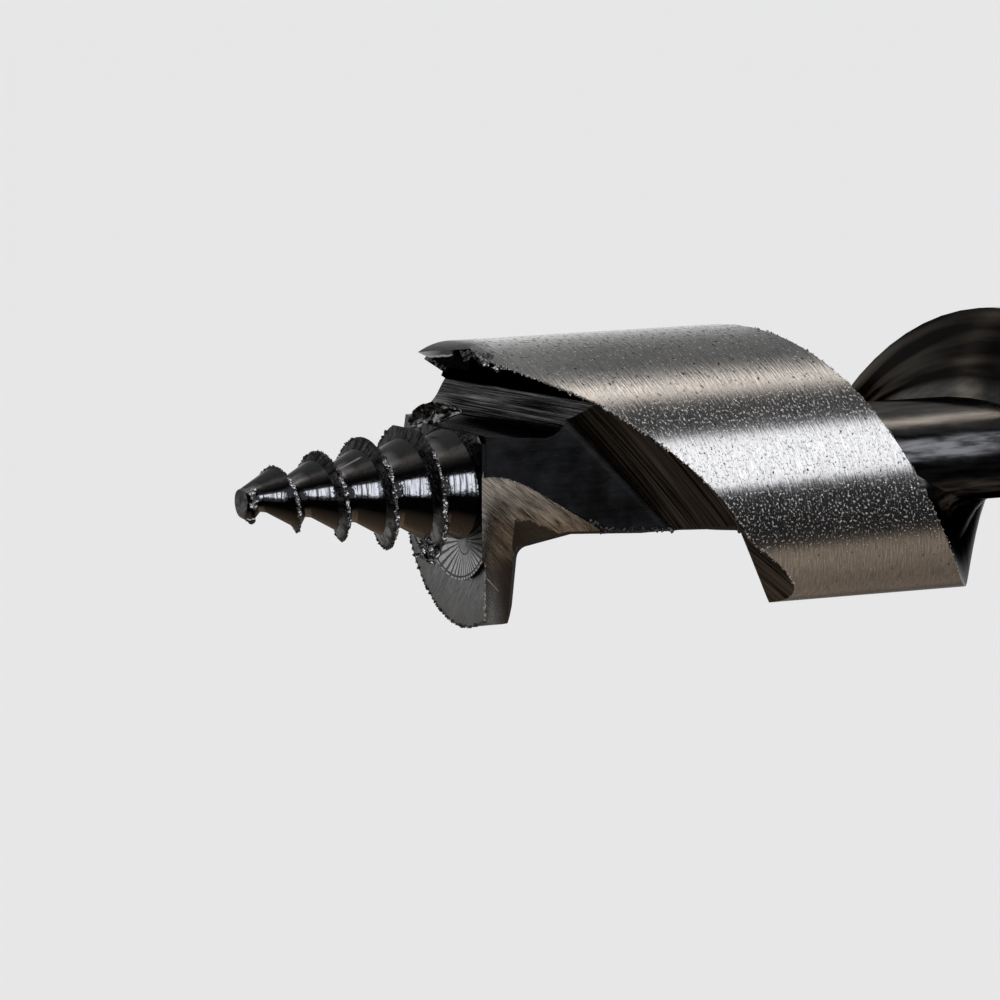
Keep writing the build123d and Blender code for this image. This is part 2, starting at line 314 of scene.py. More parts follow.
def black_flute():
    """Blackened flute, darker near the cutting face and lighter along the core, with painted shade on the
    core's underside and on the web's lower part.
    """
    s = metal("black_flute", edge=0.12)
    head_dark, head_light = (0.022, 0.0225, 0.023), (0.034, 0.0345, 0.036)
    core_dark, core_light = (0.20, 0.19, 0.18), (0.36, 0.35, 0.34)
    shaded_under_dark, shaded_under_light = (0.03, 0.03, 0.032), (0.12, 0.12, 0.125)
    web_dark, web_light, shaded_web_side = (0.032, 0.030, 0.029), (0.14, 0.125, 0.11), (0.05, 0.044, 0.039)
    shank_grey, speck_grey, crease_highlight_grey = (0.075, 0.072, 0.070), (0.16, 0.16, 0.165), (0.11, 0.108, 0.105)
    marks = s.cloud(0.35, 2.0, 2.0, roughness=0.5)
    fine = s.cloud(7.0, 7.0, 7.0, roughness=0.7)
    broad = s.cloud(0.5, 0.5, 0.5)
    core = s.blend(s.remap(marks, 0.3, 0.7), core_dark, core_light)
    # Painted shade: the underside of the core takes darker colours
    under = s.blend(s.remap(marks, 0.4, 0.6), shaded_under_dark, shaded_under_light)
    core = s.blend(s.remap(s.roll, 0.95, 1.10), core, under)
    sweep = s.grain((s.r, 0.9), (s.roll, 1.1), detail=2.0, roughness=0.4)
    web = s.blend(s.remap(sweep, 0.45, 0.68), web_dark, web_light)
    # Painted shade: the web is darker below about the height of the axis
    web = s.blend(s.remap(s.math("ABSOLUTE", s.roll), 1.3, 1.7), web, shaded_web_side)
    polished = s.blend(s.remap(s.r, CORE_RADIUS + 0.4, CORE_RADIUS + 1.4), core, web)
    polished = s.blend(s.remap(s.x, HEX_START - 0.5, HEX_START), polished, shank_grey)
    head = s.blend(s.remap(broad, 0.3, 0.7), head_dark, head_light)
    colour = s.blend(s.remap(s.x, HEAD_LENGTH, HEAD_LENGTH + 7.0), head, polished)
    colour = s.blend(s.remap(fine, 0.70, 0.76), colour, speck_grey)
    # Painted highlight: faint light line where the floor meets the entry wall
    square, distance = ENTRY_WALL
    crease = s.band(s.along(square), distance - 0.32, distance - 0.18, 0.08)
    crease = s.times(crease, s.remap(s.x, ENTRY_END + 1.0, ENTRY_END))
    s.feed(s.out["Base Color"], s.blend(s.times(crease, 0.2), colour, crease_highlight_grey))
    s.feed(s.out["Roughness"], s.remap(broad, 0.3, 0.7, 0.12, 0.2))
    relief = s.bump(marks, 0.006, 0.6)
    s.feed(s.out["Normal"], s.bump(fine, 0.003, 0.6, relief))
    return s.material


def screw_black():
    """Glossy blackened root of the screw, with fine marks round it, and painted light and shade that follow
    the roll and the thread's turn.
    """
    s = metal("screw_black", edge=0.5)
    painted_top_grey, shaded_side_black, painted_under_tan = (0.13, 0.13, 0.133), (0.022, 0.022, 0.024), (0.52, 0.44, 0.36)
    ring_dark, ring_light = (0.10, 0.102, 0.11), (0.60, 0.61, 0.64)
    glow_grey, glint_white = (0.62, 0.62, 0.63), (1.0, 1.0, 1.0)
    crest_shadow_black, fleck_black = (0.02, 0.02, 0.02), (0.03, 0.03, 0.032)
    mean_radius = 3.0
    arc = s.times(s.roll, mean_radius)
    rings = s.grain((s.x, 5.5), (arc, 0.25), roughness=0.55)
    lumps = s.cloud(1.6, 1.6, 1.6, roughness=0.5)
    flecks = s.cloud(9.0, 6.0, 6.0, detail=2.0)
    phase = s.thread_phase()
    # Painted light and shade: grey on top, black on the side and tan underneath, where the tan stands in
    # for light from below
    root = s.blend(s.remap(s.roll, 0.90, 1.05), painted_top_grey, shaded_side_black)
    root = s.blend(s.remap(s.roll, 1.95, 2.8), root, painted_under_tan)
    # Painted highlights: a soft glow at the upper left of each turn and a thin glint line
    glow = s.times(s.band(s.roll, 0.30, 0.60, 0.2), s.band(phase, 0.20, 0.36, 0.2))
    root = s.blend(s.times(glow, 0.8), root, glow_grey)
    glint = s.times(s.band(s.roll, 0.385, 0.415, 0.02), s.band(s.x, -9.5, -8.0, 0.3))
    root = s.blend(glint, root, glint_white)
    # Painted shade: a dark strip just behind each crest
    root = s.blend(s.band(phase, 0.0, 0.07, 0.04), root, crest_shadow_black)
    # Painted highlight: bright rings only on the side that faces the front strip of light, between ragged
    # ends
    ragged = s.plus(phase, s.remap(flecks, 0.3, 0.7, -0.06, 0.06))
    highlight_band = s.times(s.band(s.roll, 1.25, 1.60, 0.05), s.band(ragged, 0.36, 0.82, 0.03))
    bright = s.blend(s.remap(rings, 0.43, 0.53), ring_dark, ring_light)
    colour = s.blend(highlight_band, root, bright)
    s.feed(s.out["Base Color"], s.blend(s.remap(flecks, 0.66, 0.70), colour, fleck_black))
    # Less metallic underneath, so that the pale room lights the painted tan
    s.feed(s.out["Metallic"], s.remap(s.roll, 2.1, 2.8, 1.0, 0.92))
    s.feed(s.out["Roughness"], s.remap(lumps, 0.3, 0.7, 0.08, 0.18))
    relief = s.bump(rings, 0.010, 0.6)
    s.feed(s.out["Normal"], s.bump(lumps, 0.05, 0.6, relief))
    return s.material


def thread_flank():
    """Sides of the thread, scored outwards by the cutter, with painted light on the lower flanks."""
    s = metal("thread_flank", edge=0.5)
    score_dark, score_light = (0.012, 0.012, 0.013), (0.085, 0.085, 0.088)
    lit_lower_dark, lit_lower_light = (0.10, 0.10, 0.10), (0.36, 0.36, 0.355)
    rim_black, tip_grey = (0.03, 0.029, 0.027), (0.17, 0.17, 0.175)
    scores = s.grain((s.roll, 9.0), (s.r, 0.5))
    lumps = s.cloud(1.5, 1.5, 1.5)
    colour = s.blend(s.remap(scores, 0.35, 0.65), score_dark, score_light)
    lit_lower = s.blend(s.remap(lumps, 0.42, 0.60), lit_lower_dark, lit_lower_light)
    # Painted light: the lower flanks are lighter and less metallic, as if lit from below
    under = s.remap(s.z, -0.8, -2.2)
    colour = s.blend(under, colour, lit_lower)
    rim = s.remap(s.thread_phase(), 0.93, 0.985)
    colour = s.blend(s.times(rim, under), colour, rim_black)
    near_tip = s.remap(s.x, TIP_X + 1.0, TIP_X + 0.4)
    tip = s.times(near_tip, s.remap(lumps, 0.42, 0.58, 0.2, 1.0))
    s.feed(s.out["Base Color"], s.blend(tip, colour, tip_grey))
    s.feed(s.out["Metallic"], s.remap(under, 0.0, 1.0, 1.0, 0.55))
    s.out["Roughness"].default_value = 0.3
    relief = s.bump(lumps, 0.35, 0.8)
    s.feed(s.out["Normal"], s.bump(scores, 0.12, 0.8, relief))
    return s.material


def gullet_dark():
    """Dull milled roof and front wall of the gullet."""
    s = metal("gullet_dark", 0.3, 0.3)
    dark, light = (0.012, 0.011, 0.010), (0.045, 0.040, 0.036)
    marks = s.cloud(3.0, 0.4, 3.0)
    s.feed(s.out["Base Color"], s.blend(marks, dark, light))
    s.out["Roughness"].default_value = 0.75
    s.out["Specular IOR Level"].default_value = 0.1
    s.feed(s.out["Normal"], s.bump(marks, 0.05, 0.6))
    return s.material


def spur_face():
    """Side of the spur: a narrow bright ground lens above black steel."""
    s = metal("spur_face")
    point_grey, back_grey = (0.75, 0.74, 0.72), (0.16, 0.155, 0.15)
    hem_grey, black = (0.80, 0.79, 0.77), (0.02, 0.02, 0.022)
    wobble = s.grain((s.x, 2.0), (s.z, 2.0))
    ragged_r = s.plus(s.r, s.times(wobble, 0.3))
    ragged_x = s.plus(s.x, s.times(wobble, 0.3))
    lens = s.times(s.remap(ragged_r, RADIUS - 0.38, RADIUS - 0.28), s.remap(ragged_x, -1.15, -1.35))
    colour = s.blend(s.remap(s.x, -3.4, -2.2), point_grey, back_grey)
    colour = s.blend(s.band(ragged_r, RADIUS - 0.34, RADIUS - 0.20, 0.05), colour, hem_grey)
    s.feed(s.out["Base Color"], s.blend(lens, black, colour))
    s.feed(s.out["Roughness"], s.remap(lens, 0.0, 1.0, 0.3, 0.6))
    s.feed(s.out["Normal"], s.bump(wobble, 0.1, 0.5))
    return s.material


def ruled(name, dark, light, rough, run, across, scales, depth, bow=0.0, edge=1.0, peak=1.0):
    """Face whose cutter marks run along a direction, with a noise scale along it and across it.

    A bow bends the marks, and a high peak leaves few and thin light marks.
    """
    s = metal(name, edge=edge)
    along_scale, across_scale = scales
    s.run = s.along(run)
    s.rise = s.along(across)
    if bow:
        s.rise = s.plus(s.rise, s.times(s.times(s.run, s.run), bow))
    marks = s.grain((s.run, along_scale), (s.rise, across_scale), detail=4.0, roughness=0.7)
    wide = s.grain((s.run, along_scale), (s.rise, across_scale * 0.18), layer=4.0)
    blur = s.grain((s.run, 0.8), (s.rise, 0.8), layer=8.0)
    tone = s.plus(s.times(s.remap(marks, 0.40, 0.60), 0.65), s.times(s.remap(wide, 0.38, 0.62), 0.35))
    s.colour = s.blend(s.math("POWER", tone, peak), dark, light)
    s.feed(s.out["Base Color"], s.colour)
    s.feed(s.out["Roughness"], s.remap(blur, 0.3, 0.7, rough * 0.8, rough * 1.25))
    relief = s.bump(marks, depth, 0.8)
    s.feed(s.out["Normal"], s.bump(blur, 0.03, 0.4, relief))
    return s


def entry_brown():
    """Flat wall with long arcs left by the disc cutter."""
    run = Vector((-0.607, 0, 0.62)).normalized()
    return ruled(
        "entry_brown",
        dark=(0.004, 0.0035, 0.003),
        light=(0.46, 0.425, 0.39),
        rough=0.26,
        run=run,
        across=ENTRY_WALL[0].cross(run),
        scales=(0.06, 4.6),
        depth=0.03,
        bow=0.006,
        edge=0.4,
        peak=1.3,
    ).material


def pocket_striped():
    """Upright wall of the pocket with fine level cutter marks."""
    painted_sheen_grey = (0.45, 0.45, 0.46)
    s = ruled(
        "pocket_striped",
        dark=(0.006, 0.006, 0.006),
        light=(0.28, 0.28, 0.288),
        rough=0.24,
        run=POCKET_TRAVEL,
        across=Vector((0.30, 0.09, 0.95)),
        scales=(0.12, 8.5),
        depth=0.022,
        edge=0.4,
        peak=2.4,
    )
    # Painted sheen: a lighter, less metallic patch near the floor's fillet stands in for a reflection
    painted_sheen = s.times(s.band(s.x, -1.0, 1.6, 1.0), s.band(s.z, 3.7, 4.6, 0.4))
    s.feed(s.out["Base Color"], s.blend(s.times(painted_sheen, 0.8), s.colour, painted_sheen_grey))
    s.feed(s.out["Metallic"], s.remap(painted_sheen, 0.0, 1.0, 1.0, 0.86))
    return s.material


def rake_tan():
    """Hollow-ground rake face with slanting grinder marks, and painted shade in the gullet corner and at
    its foot.
    """
    corner_shade_brown, foot_shade_black, scratch_tan = (0.085, 0.077, 0.070), (0.036, 0.034, 0.033), (0.85, 0.72, 0.60)
    s = ruled(
        "rake_tan",
        dark=(0.045, 0.037, 0.031),
        light=(0.78, 0.69, 0.58),
        rough=0.20,
        run=Vector((0.788, 0, -0.616)),
        across=Vector((0.616, 0, 0.788)),
        scales=(0.42, 10.5),
        depth=0.030,
    )
    # Painted shade in the dark corner: the part within a ragged reach of the gullet's front and floor
    gullet_x = s.along(GULLET_X)
    gullet_z = s.along(GULLET_Z)
    ahead = s.math("MAXIMUM", s.minus(GULLET_START, gullet_x), 0.0)
    above = s.math("MAXIMUM", s.plus(gullet_z, GULLET_FLOOR), 0.0)
    wobble = s.grain((s.x, 2.0), (s.z, 2.0))
    reach = s.times(s.remap(gullet_x, 5.6, 9.2, 1.75, 0.0), s.remap(gullet_z, -5.2, -4.4, 0.10, 1.0))
    reach = s.times(reach, s.remap(gullet_x, GULLET_START - 0.15, GULLET_START + 0.15, 0.06, 1.0))
    reach = s.times(reach, s.remap(wobble, 0.2, 0.8, 0.85, 1.15))
    corner = s.remap(s.minus(s.length(ahead, above), reach), -0.06, 0.06, 1.0, 0.0)
    colour = s.blend(corner, s.colour, corner_shade_brown)
    # Painted shade: darker towards the bottom of the face
    foot_shade = s.remap(s.z, -6.0, -3.4, 1.0, 0.0)
    colour = s.blend(s.times(foot_shade, 0.92), colour, foot_shade_black)
    scratch = s.times(s.band(s.rise, -4.62, -4.58, 0.03), s.band(s.run, 3.9, 5.9, 0.3))
    s.feed(s.out["Base Color"], s.blend(scratch, colour, scratch_tan))
    glow = s.times(s.remap(s.x, 0.8, 3.0), s.remap(s.z, -3.0, -1.8))
    s.feed(s.out["Metallic"], s.minus(1.0, s.times(glow, 0.16)))
    # Rough just under the face's curved upper edge, glossier below
    top_z = s.minus(1.1, s.plus(s.times(s.x, 0.12), s.times(s.times(s.x, s.x), 0.038)))
    below_top = s.plus(s.minus(top_z, s.z), s.remap(wobble, 0.2, 0.8, -0.5, 0.5))
    s.feed(s.out["Roughness"], s.remap(below_top, 0.3, 3.2, 0.62, 0.22))
    return s.material


def clearance_grey():
    """Ground clearance face behind the lip, brushed on the slant."""
    rim_grey, top_black = (0.055, 0.052, 0.05), (0.02, 0.02, 0.021)
    s = ruled(
        "clearance_grey",
        dark=(0.028, 0.028, 0.029),
        light=(0.155, 0.155, 0.158),
        rough=0.30,
        run=Vector((0, -0.66, 0.75)),
        across=Vector((0, 0.75, 0.66)),
        scales=(0.6, 4.8),
        depth=0.03,
    )
    rim = s.remap(s.r, DISC_RADIUS + 0.2, RADIUS - 0.5)
    colour = s.blend(s.times(rim, 0.88), s.colour, rim_grey)
    s.feed(s.out["Base Color"], s.blend(s.remap(s.z, -1.5, 1.0), colour, top_black))
    return s.material


def disc_fan():
    """Low disc under the screw, with a fan of scored lines from the cutter's last turn."""
    s = metal("disc_fan")
    dark_grey, light_grey = (0.24, 0.24, 0.245), (0.42, 0.42, 0.425)
    score_black, top_black = (0.016, 0.016, 0.017), (0.02, 0.02, 0.021)
    fan_centre_y, fan_centre_z = -1.61, -3.72
    fan_lines = 38.0
    from_y = s.plus(s.y, -fan_centre_y)
    from_z = s.plus(s.z, -fan_centre_z)
    turn = s.math("ARCTAN2", from_y, from_z)
    reach = s.length(from_y, from_z)
    wobble = s.grain((s.y, 0.8), (s.z, 0.8))
    lines = s.math("COSINE", s.plus(s.times(turn, fan_lines), s.times(wobble, 3.0)))
    width = s.grain((turn, 7.0), layer=2.0, detail=2.0)
    score = s.remap(s.plus(lines, s.remap(width, 0.3, 0.7, -0.3, 0.3)), 0.30, 0.50)
    score = s.times(score, s.remap(reach, 0.35, 0.7))
    ring = s.band(s.r, DISC_RADIUS - 0.25, DISC_RADIUS - 0.18, 0.05)
    curl = s.band(reach, 0.95, 1.0, 0.04)
    scored = s.math("MAXIMUM", s.math("MAXIMUM", score, ring), s.times(curl, 0.8))
    brushed = s.grain((s.y, 4.0), (s.z, 1.4))
    colour = s.blend(s.remap(brushed, 0.3, 0.7), dark_grey, light_grey)
    colour = s.blend(scored, colour, score_black)
    s.feed(s.out["Base Color"], s.blend(s.remap(s.z, -3.0, -1.2), colour, top_black))
    s.out["Roughness"].default_value = 0.30
    s.feed(s.out["Normal"], s.bump(s.times(scored, -1.0), 0.12, 0.9))
    return s.material


def burr(name, dark, light, rough, spot_scale, relief, edge=1.0):
    """Torn or smeared metal, mottled between two colours."""
    s = metal(name, edge=edge)
    spots = s.cloud(spot_scale, spot_scale, spot_scale, roughness=0.65)
    s.feed(s.out["Base Color"], s.blend(s.remap(spots, 0.40, 0.62), dark, light))
    s.out["Roughness"].default_value = rough
    s.feed(s.out["Normal"], s.bump(spots, relief, 0.6))
    return s.material


MATERIALS = {
    "ground_land": ground_land(),
    "black_flute": black_flute(),
    "screw_black": screw_black(),
    "entry_brown": entry_brown(),
    "pocket_striped": pocket_striped(),
    "rake_tan": rake_tan(),
    "clearance_grey": clearance_grey(),
    "disc_fan": disc_fan(),
    "thread_flank": thread_flank(),
    "gullet_dark": gullet_dark(),
    "spur_face": spur_face(),
}
FINISHES = list(MATERIALS)
BURR_DARK = burr(
    "burr_dark",
    dark=(0.025, 0.025, 0.026),
    light=(0.20, 0.19, 0.18),
    rough=0.22,
    spot_scale=5.0,
    relief=0.2,
)
BURR_GLOSSY = burr(
    "burr_glossy",
    dark=(0.08, 0.08, 0.085),
    light=(0.70, 0.70, 0.72),
    rough=0.12,
    spot_scale=2.0,
    relief=0.12,
    edge=0.6,
)
BURR_BRIGHT = burr(
    "burr_bright",
    dark=(0.22, 0.20, 0.18),
    light=(0.72, 0.70, 0.67),
    rough=0.26,
    spot_scale=6.0,
    relief=0.2,
)
CHIP_BLACK = burr(
    "chip_black",
    dark=(0.03, 0.03, 0.032),
    light=(0.34, 0.34, 0.35),
    rough=0.14,
    spot_scale=1.3,
    relief=0.15,
    edge=0.4,
)

# Regions of the bit, each as the low and the high corner of a box. A side at OPEN has no limit.
OPEN = 999
SPUR_SIDE = ((-OPEN, -OPEN, 8), (2.6, OPEN, OPEN))
RAKE = ((-OPEN, LIP_Y - 0.02, -OPEN), (12, 0.5, 1.3))
POCKET = ((-OPEN, -OPEN, 3.2), (11, OPEN, OPEN))
GULLET = ((3, -OPEN, -OPEN), (HEAD_LENGTH, OPEN, OPEN))
FACET = ((16, -OPEN, -OPEN), (26, OPEN, OPEN))
ENTRY = ((-OPEN, -OPEN, -OPEN), (ENTRY_END + 1, OPEN, OPEN))

# Cosine above which a face counts as turned to a direction, and one for faces square to the axis
TURNED_TO = 0.9
SQUARE_ON = 0.98

# Crease in degrees from which an edge is sharp enough for burrs
SHARP_LAND_EDGE = 20
SHARP_EDGE = 25


def inside(point, box):
    """True for a point in a box that is given by its low and high corners."""
    low, high = box
    return all(a <= c <= b for a, c, b in zip(low, point, high))


def on_plane(point, normal, plane, tolerance=0.08):
    """True where a face lies on a plane and looks out through it."""
    square, distance = plane
    return abs(point.dot(square) - distance) < tolerance and abs(normal.dot(square)) > TURNED_TO


def on_screw(centre):
    """True in front of the low disc and near the axis."""
    return centre.x < -DISC_HEIGHT - 0.01 and hypot(centre.y, centre.z) < SCREW_REACH


def screw_finish(centre, normal):
    """Finish of a face of the lead screw, or of the pocket's floor beside it."""
    if centre.z > POCKET_FLOOR_Z and normal.z > TURNED_TO:
        return "gullet_dark"
    return "thread_flank" if abs(normal.x) > 0.7 else "screw_black"


def on_rake(centre, normal):
    """True on the hollow rake face, without the strip of the flute that continues its plane."""
    past_lip = abs(centre.y - LIP_Y) > 0.03 or centre.z < 0 or centre.x < 2
    return inside(centre, RAKE) and normal.y < -0.2 and past_lip


def in_gullet(centre, normal):
    """True on the gullet's roof and its fillet, which follow the cutter's travel."""
    follows = abs(normal.dot(GULLET_TRAVEL)) < 0.05
    return inside(centre, GULLET) and follows and centre.dot(GULLET_Z) < GULLET_FILLET - GULLET_FLOOR


def on_pocket_wall(centre, normal):
    """True on the upright wall of the pocket, which follows that cutter's travel."""
    follows = abs(normal.dot(POCKET_TRAVEL)) < 0.1
    below_land = hypot(centre.y, centre.z) < RADIUS - 0.1
    return inside(centre, POCKET) and follows and below_land and normal.z > -0.3


def finish_of(centre, normal):
    """Name of the finish that a face of the bit has, by where it lies and how it is turned."""
    r = hypot(centre.y, centre.z)
    outward = (normal.y * centre.y + normal.z * centre.z) / max(r, 0.01)
    if on_screw(centre):
        return screw_finish(centre, normal)
    on_twist = centre.x < TWIST_LENGTH + SHOULDER_LENGTH + 0.1
    if outward > TURNED_TO and r > RADIUS - 0.5 and on_twist:
        return "ground_land"
    if centre.x > TWIST_LENGTH:
        return "black_flute"
    if inside(centre, SPUR_SIDE) and normal.y < -TURNED_TO:
        return "spur_face"
    if in_gullet(centre, normal):
        return "gullet_dark"
    if normal.x < -SQUARE_ON and abs(centre.x + DISC_HEIGHT) < 0.1:
        return "disc_fan"
    if normal.x < -SQUARE_ON and abs(centre.x) < 0.1:
        return "clearance_grey"
    if on_rake(centre, normal):
        return "rake_tan"
    if inside(centre, ENTRY) and on_plane(centre, normal, ENTRY_WALL):
        return "entry_brown"
    if on_pocket_wall(centre, normal):
        return "pocket_striped"
    if inside(centre, FACET) and on_plane(centre, normal, RUNOUT_FACET):
        return "entry_brown"
    return "black_flute"


def add_piece(name, data):
    """Puts a mesh in the scene as a piece of the steel body."""
    piece = bpy.data.objects.new(name, data)
    bpy.context.scene.collection.objects.link(piece)
    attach(piece, "root")
    return piece


node = frame["nodes"]["auger_bit"]
node.data.materials.clear()
bit = add_piece("auger_bit_detailed", node.data.copy())
node.data.materials.append(MATERIALS["black_flute"])
for material in MATERIALS.values():
    bit.data.materials.append(material)
for face in bit.data.polygons:
    face.material_index = FINISHES.index(finish_of(from_frame(face.center), face.normal))
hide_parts("auger_bit")

# Burrs: rows of torn beads along sharp edges, and larger curled chips


def edges_of(mesh):
    """Edges between two faces, as (point, point, finishes, crease angle) in the cutting frame."""
    faces_at = {}
    for face in mesh.polygons:
        corners = [mesh.vertices[i].co for i in face.vertices]
        for first, second in zip(corners, corners[1:] + corners[:1]):
            key = frozenset(tuple(round(c * 1e7) for c in corner) for corner in (first, second))
            faces_at.setdefault(key, []).append((face, first, second))
    found = []
    for sharing in faces_at.values():
        if len(sharing) != 2:
            continue
        (face, first, second), (other, _, _) = sharing
        crease = degrees(face.normal.angle(other.normal, 0.0))
        finishes = {FINISHES[face.material_index], FINISHES[other.material_index]}
        found.append((from_frame(first), from_frame(second), finishes, crease))
    return found


def segments_in(edges, box):
    """End points of the edges whose middle lies in a box."""
    return [(first, second) for first, second, _, _ in edges if inside((first + second) / 2, box)]


def scattered(point, spread):
    """Moves a point by a random amount."""
    return point + Vector([rng.gauss(0, spread) for _ in range(3)])


class Beads:
    """A mesh that gathers torn lumps of metal."""

    def __init__(self):
        self.mesh = bmesh.new()

    def lump(self, centre, size, stretch=(1.0, 1.0, 1.0), turn=None, detail=1, rough=0.35):
        made = bmesh.ops.create_icosphere(self.mesh, subdivisions=detail, radius=1.0)
        if turn is None:
            turn = Euler([rng.uniform(0, 2 * pi) for _ in range(3)])
        seed = Vector([rng.uniform(-50, 50) for _ in range(3)])
        for vertex in made["verts"]:
            swell = 1.0 + rough * noise.noise(vertex.co * 1.7 + seed) * 2.0
            shape = Vector([c * s for c, s in zip(vertex.co * swell * size, stretch)])
            shape.rotate(turn)
            vertex.co = to_frame(*(centre + shape))

    def row(self, segments, spacing, size, spread, keep=1.0):
        """Lumps along segments, in a random run of sizes."""
        for first, second in segments:
            count = int((second - first).length / spacing + rng.random())
            for _ in range(count):
                if rng.random() > keep:
                    continue
                point = scattered(first.lerp(second, rng.random()), spread)
                amount = size * rng.uniform(0.45, 1.0) ** 1.4
                self.lump(point, amount, (rng.uniform(0.8, 1.8), rng.uniform(0.7, 1.2), 0.8))

    def smears(self, segments, spacing, spread, sizes):
        """Long lumps that lie along segments."""
        for first, second in segments:
            run = second - first
            for _ in range(int(run.length / spacing + rng.random())):
                centre = scattered(first.lerp(second, rng.random()), spread)
                turn = run.to_track_quat("X", "Z").to_euler()
                self.lump(centre, rng.uniform(*sizes), (1.6, 0.8, 0.9), turn, detail=2, rough=0.4)

    def heap(self, count, draw_place, sizes, stretch, detail, rough):
        """Lumps at places that a function draws."""
        for _ in range(count):
            self.lump(draw_place(), rng.uniform(*sizes), stretch, detail=detail, rough=rough)

    def finish(self, name, material, smooth=False):
        data = bpy.data.meshes.new(name)
        self.mesh.to_mesh(data)
        self.mesh.free()
        data.materials.append(material)
        for face in data.polygons:
            face.use_smooth = smooth
        add_piece(name, data)


def along_line(start, run, reach, spread):
    """Function that draws a place near a line, over a part of its run."""

    def draw():
        share = reach * rng.random()
        return scattered(Vector([a + b * share for a, b in zip(start, run)]), spread)

    return draw


EDGES = edges_of(bit.data)

# Stretches of edge that carry burrs, as boxes
OVER_POCKET = ((-0.5, -10, 4), (12, -1.5, 11))
BEHIND_ENTRY = ((22, -11, -8), (42, 2, 11))
ALONG_ENTRY = ((9, -11, -9), (24, -6, 6))
RAKE_TOP = ((0.1, -6, -4.6), (9, 1, 1.6))
CUTTING_LIP = ((-0.2, -6, -10), (0.2, 0, -6.3))
CLEARANCE_RIM = ((-0.2, -6, -11), (0.2, 11, -2))
GULLET_RIM = ((3.5, -5.2, -6.5), (24, -3.0, -2.5))


def land_edges(box):
    """Segments of the sharp edges of the land in a box."""
    kept = []
    for edge in EDGES:
        _, _, finishes, crease = edge
        if "ground_land" in finishes and len(finishes) == 2 and crease > SHARP_LAND_EDGE:
            kept.append(edge)
    return segments_in(kept, box)


def edges_between(one_finish, other_finish, box):
    """Segments in a box that part two finishes."""
    return segments_in([edge for edge in EDGES if edge[2] == {one_finish, other_finish}], box)


def edges_inside_flute(box):
    """Segments of the sharp edges in a box that don't border the land."""
    kept = []
    for edge in EDGES:
        _, _, finishes, crease = edge
        if "ground_land" not in finishes and crease > SHARP_EDGE:
            kept.append(edge)
    return segments_in(kept, box)


def land_burrs():
    """Bright burrs on the land's edges over the pocket and the entry wall, and on the lip."""
    rake_top = edges_between("rake_tan", "black_flute", RAKE_TOP)
    lip = edges_between("rake_tan", "clearance_grey", CUTTING_LIP)
    beads = Beads()
    beads.row(land_edges(OVER_POCKET), spacing=0.06, size=0.11, spread=0.035)
    beads.row(land_edges(BEHIND_ENTRY), spacing=0.14, size=0.08, spread=0.03, keep=0.7)
    beads.row(land_edges(ALONG_ENTRY), spacing=0.16, size=0.12, spread=0.04, keep=0.8)
    beads.row(rake_top, spacing=0.10, size=0.07, spread=0.03, keep=0.8)
    beads.row(lip, spacing=0.03, size=0.075, spread=0.015)
    beads.finish("land_burrs", BURR_BRIGHT)


def rim_burrs():
    """Dark burrs on the rim of the clearance face and on the underside of the gullet."""
    beads = Beads()
    beads.row(land_edges(CLEARANCE_RIM), spacing=0.10, size=0.11, spread=0.035)
    beads.row(edges_inside_flute(GULLET_RIM), spacing=0.09, size=0.17, spread=0.05)
    beads.finish("rim_burrs", BURR_DARK)


def crest_segments():
    """End points of the edges on the crests of the lead screw's thread."""
    found = []
    for first, second, _, crease in EDGES:
        middle = (first + second) / 2
        crest = CREST_TIP_RADIUS + CREST_SLOPE * (middle.x - TIP_X)
        on_crest = hypot(middle.y, middle.z) > crest - 0.12
        if on_crest and crease > SHARP_EDGE and middle.x < -0.5 and middle.z < 3.4:
            found.append((first, second))
    return found


def thread_burrs(crests):
    """Dark burrs on the thread's crests, all but the first half turn."""
    beads = Beads()
    behind_tip = [ends for ends in crests if ends[0].x > TIP_X + 1.2]
    beads.row(behind_tip, spacing=0.045, size=0.095, spread=0.025)
    beads.finish("thread_burrs", BURR_DARK)


def faces_camera(ends):
    """True for a crest on the camera's side, behind the first half turn."""
    middle = (ends[0] + ends[1]) / 2
    return middle.y < 0 and -0.9 < middle.z / -middle.y < 0.85 and middle.x > TIP_X + 1.0


def on_first_lip():
    """Draws a place on the lip with which the thread starts."""
    turned = rng.uniform(0.95, 2.0)
    x = rng.uniform(TIP_X + 0.25, TIP_X + 0.65)
    return Vector((x, -FIRST_LIP_RADIUS * sin(turned), FIRST_LIP_RADIUS * cos(turned)))


def on_torn_end():
    """Draws a place on the torn end of the thread beside the disc."""
    turned = rng.uniform(-0.56, 0.12)
    out = rng.uniform(4.0, 5.1)
    centre = Vector((-2.45 + 0.12 * out * sin(turned), out * sin(turned), -out * cos(turned)))
    return scattered(centre, 0.12)


def on_nub():
    """Draws a place in the nub of metal under the tip."""
    return scattered(Vector((TIP_X + 0.65, -0.55, -1.30)), 0.10)


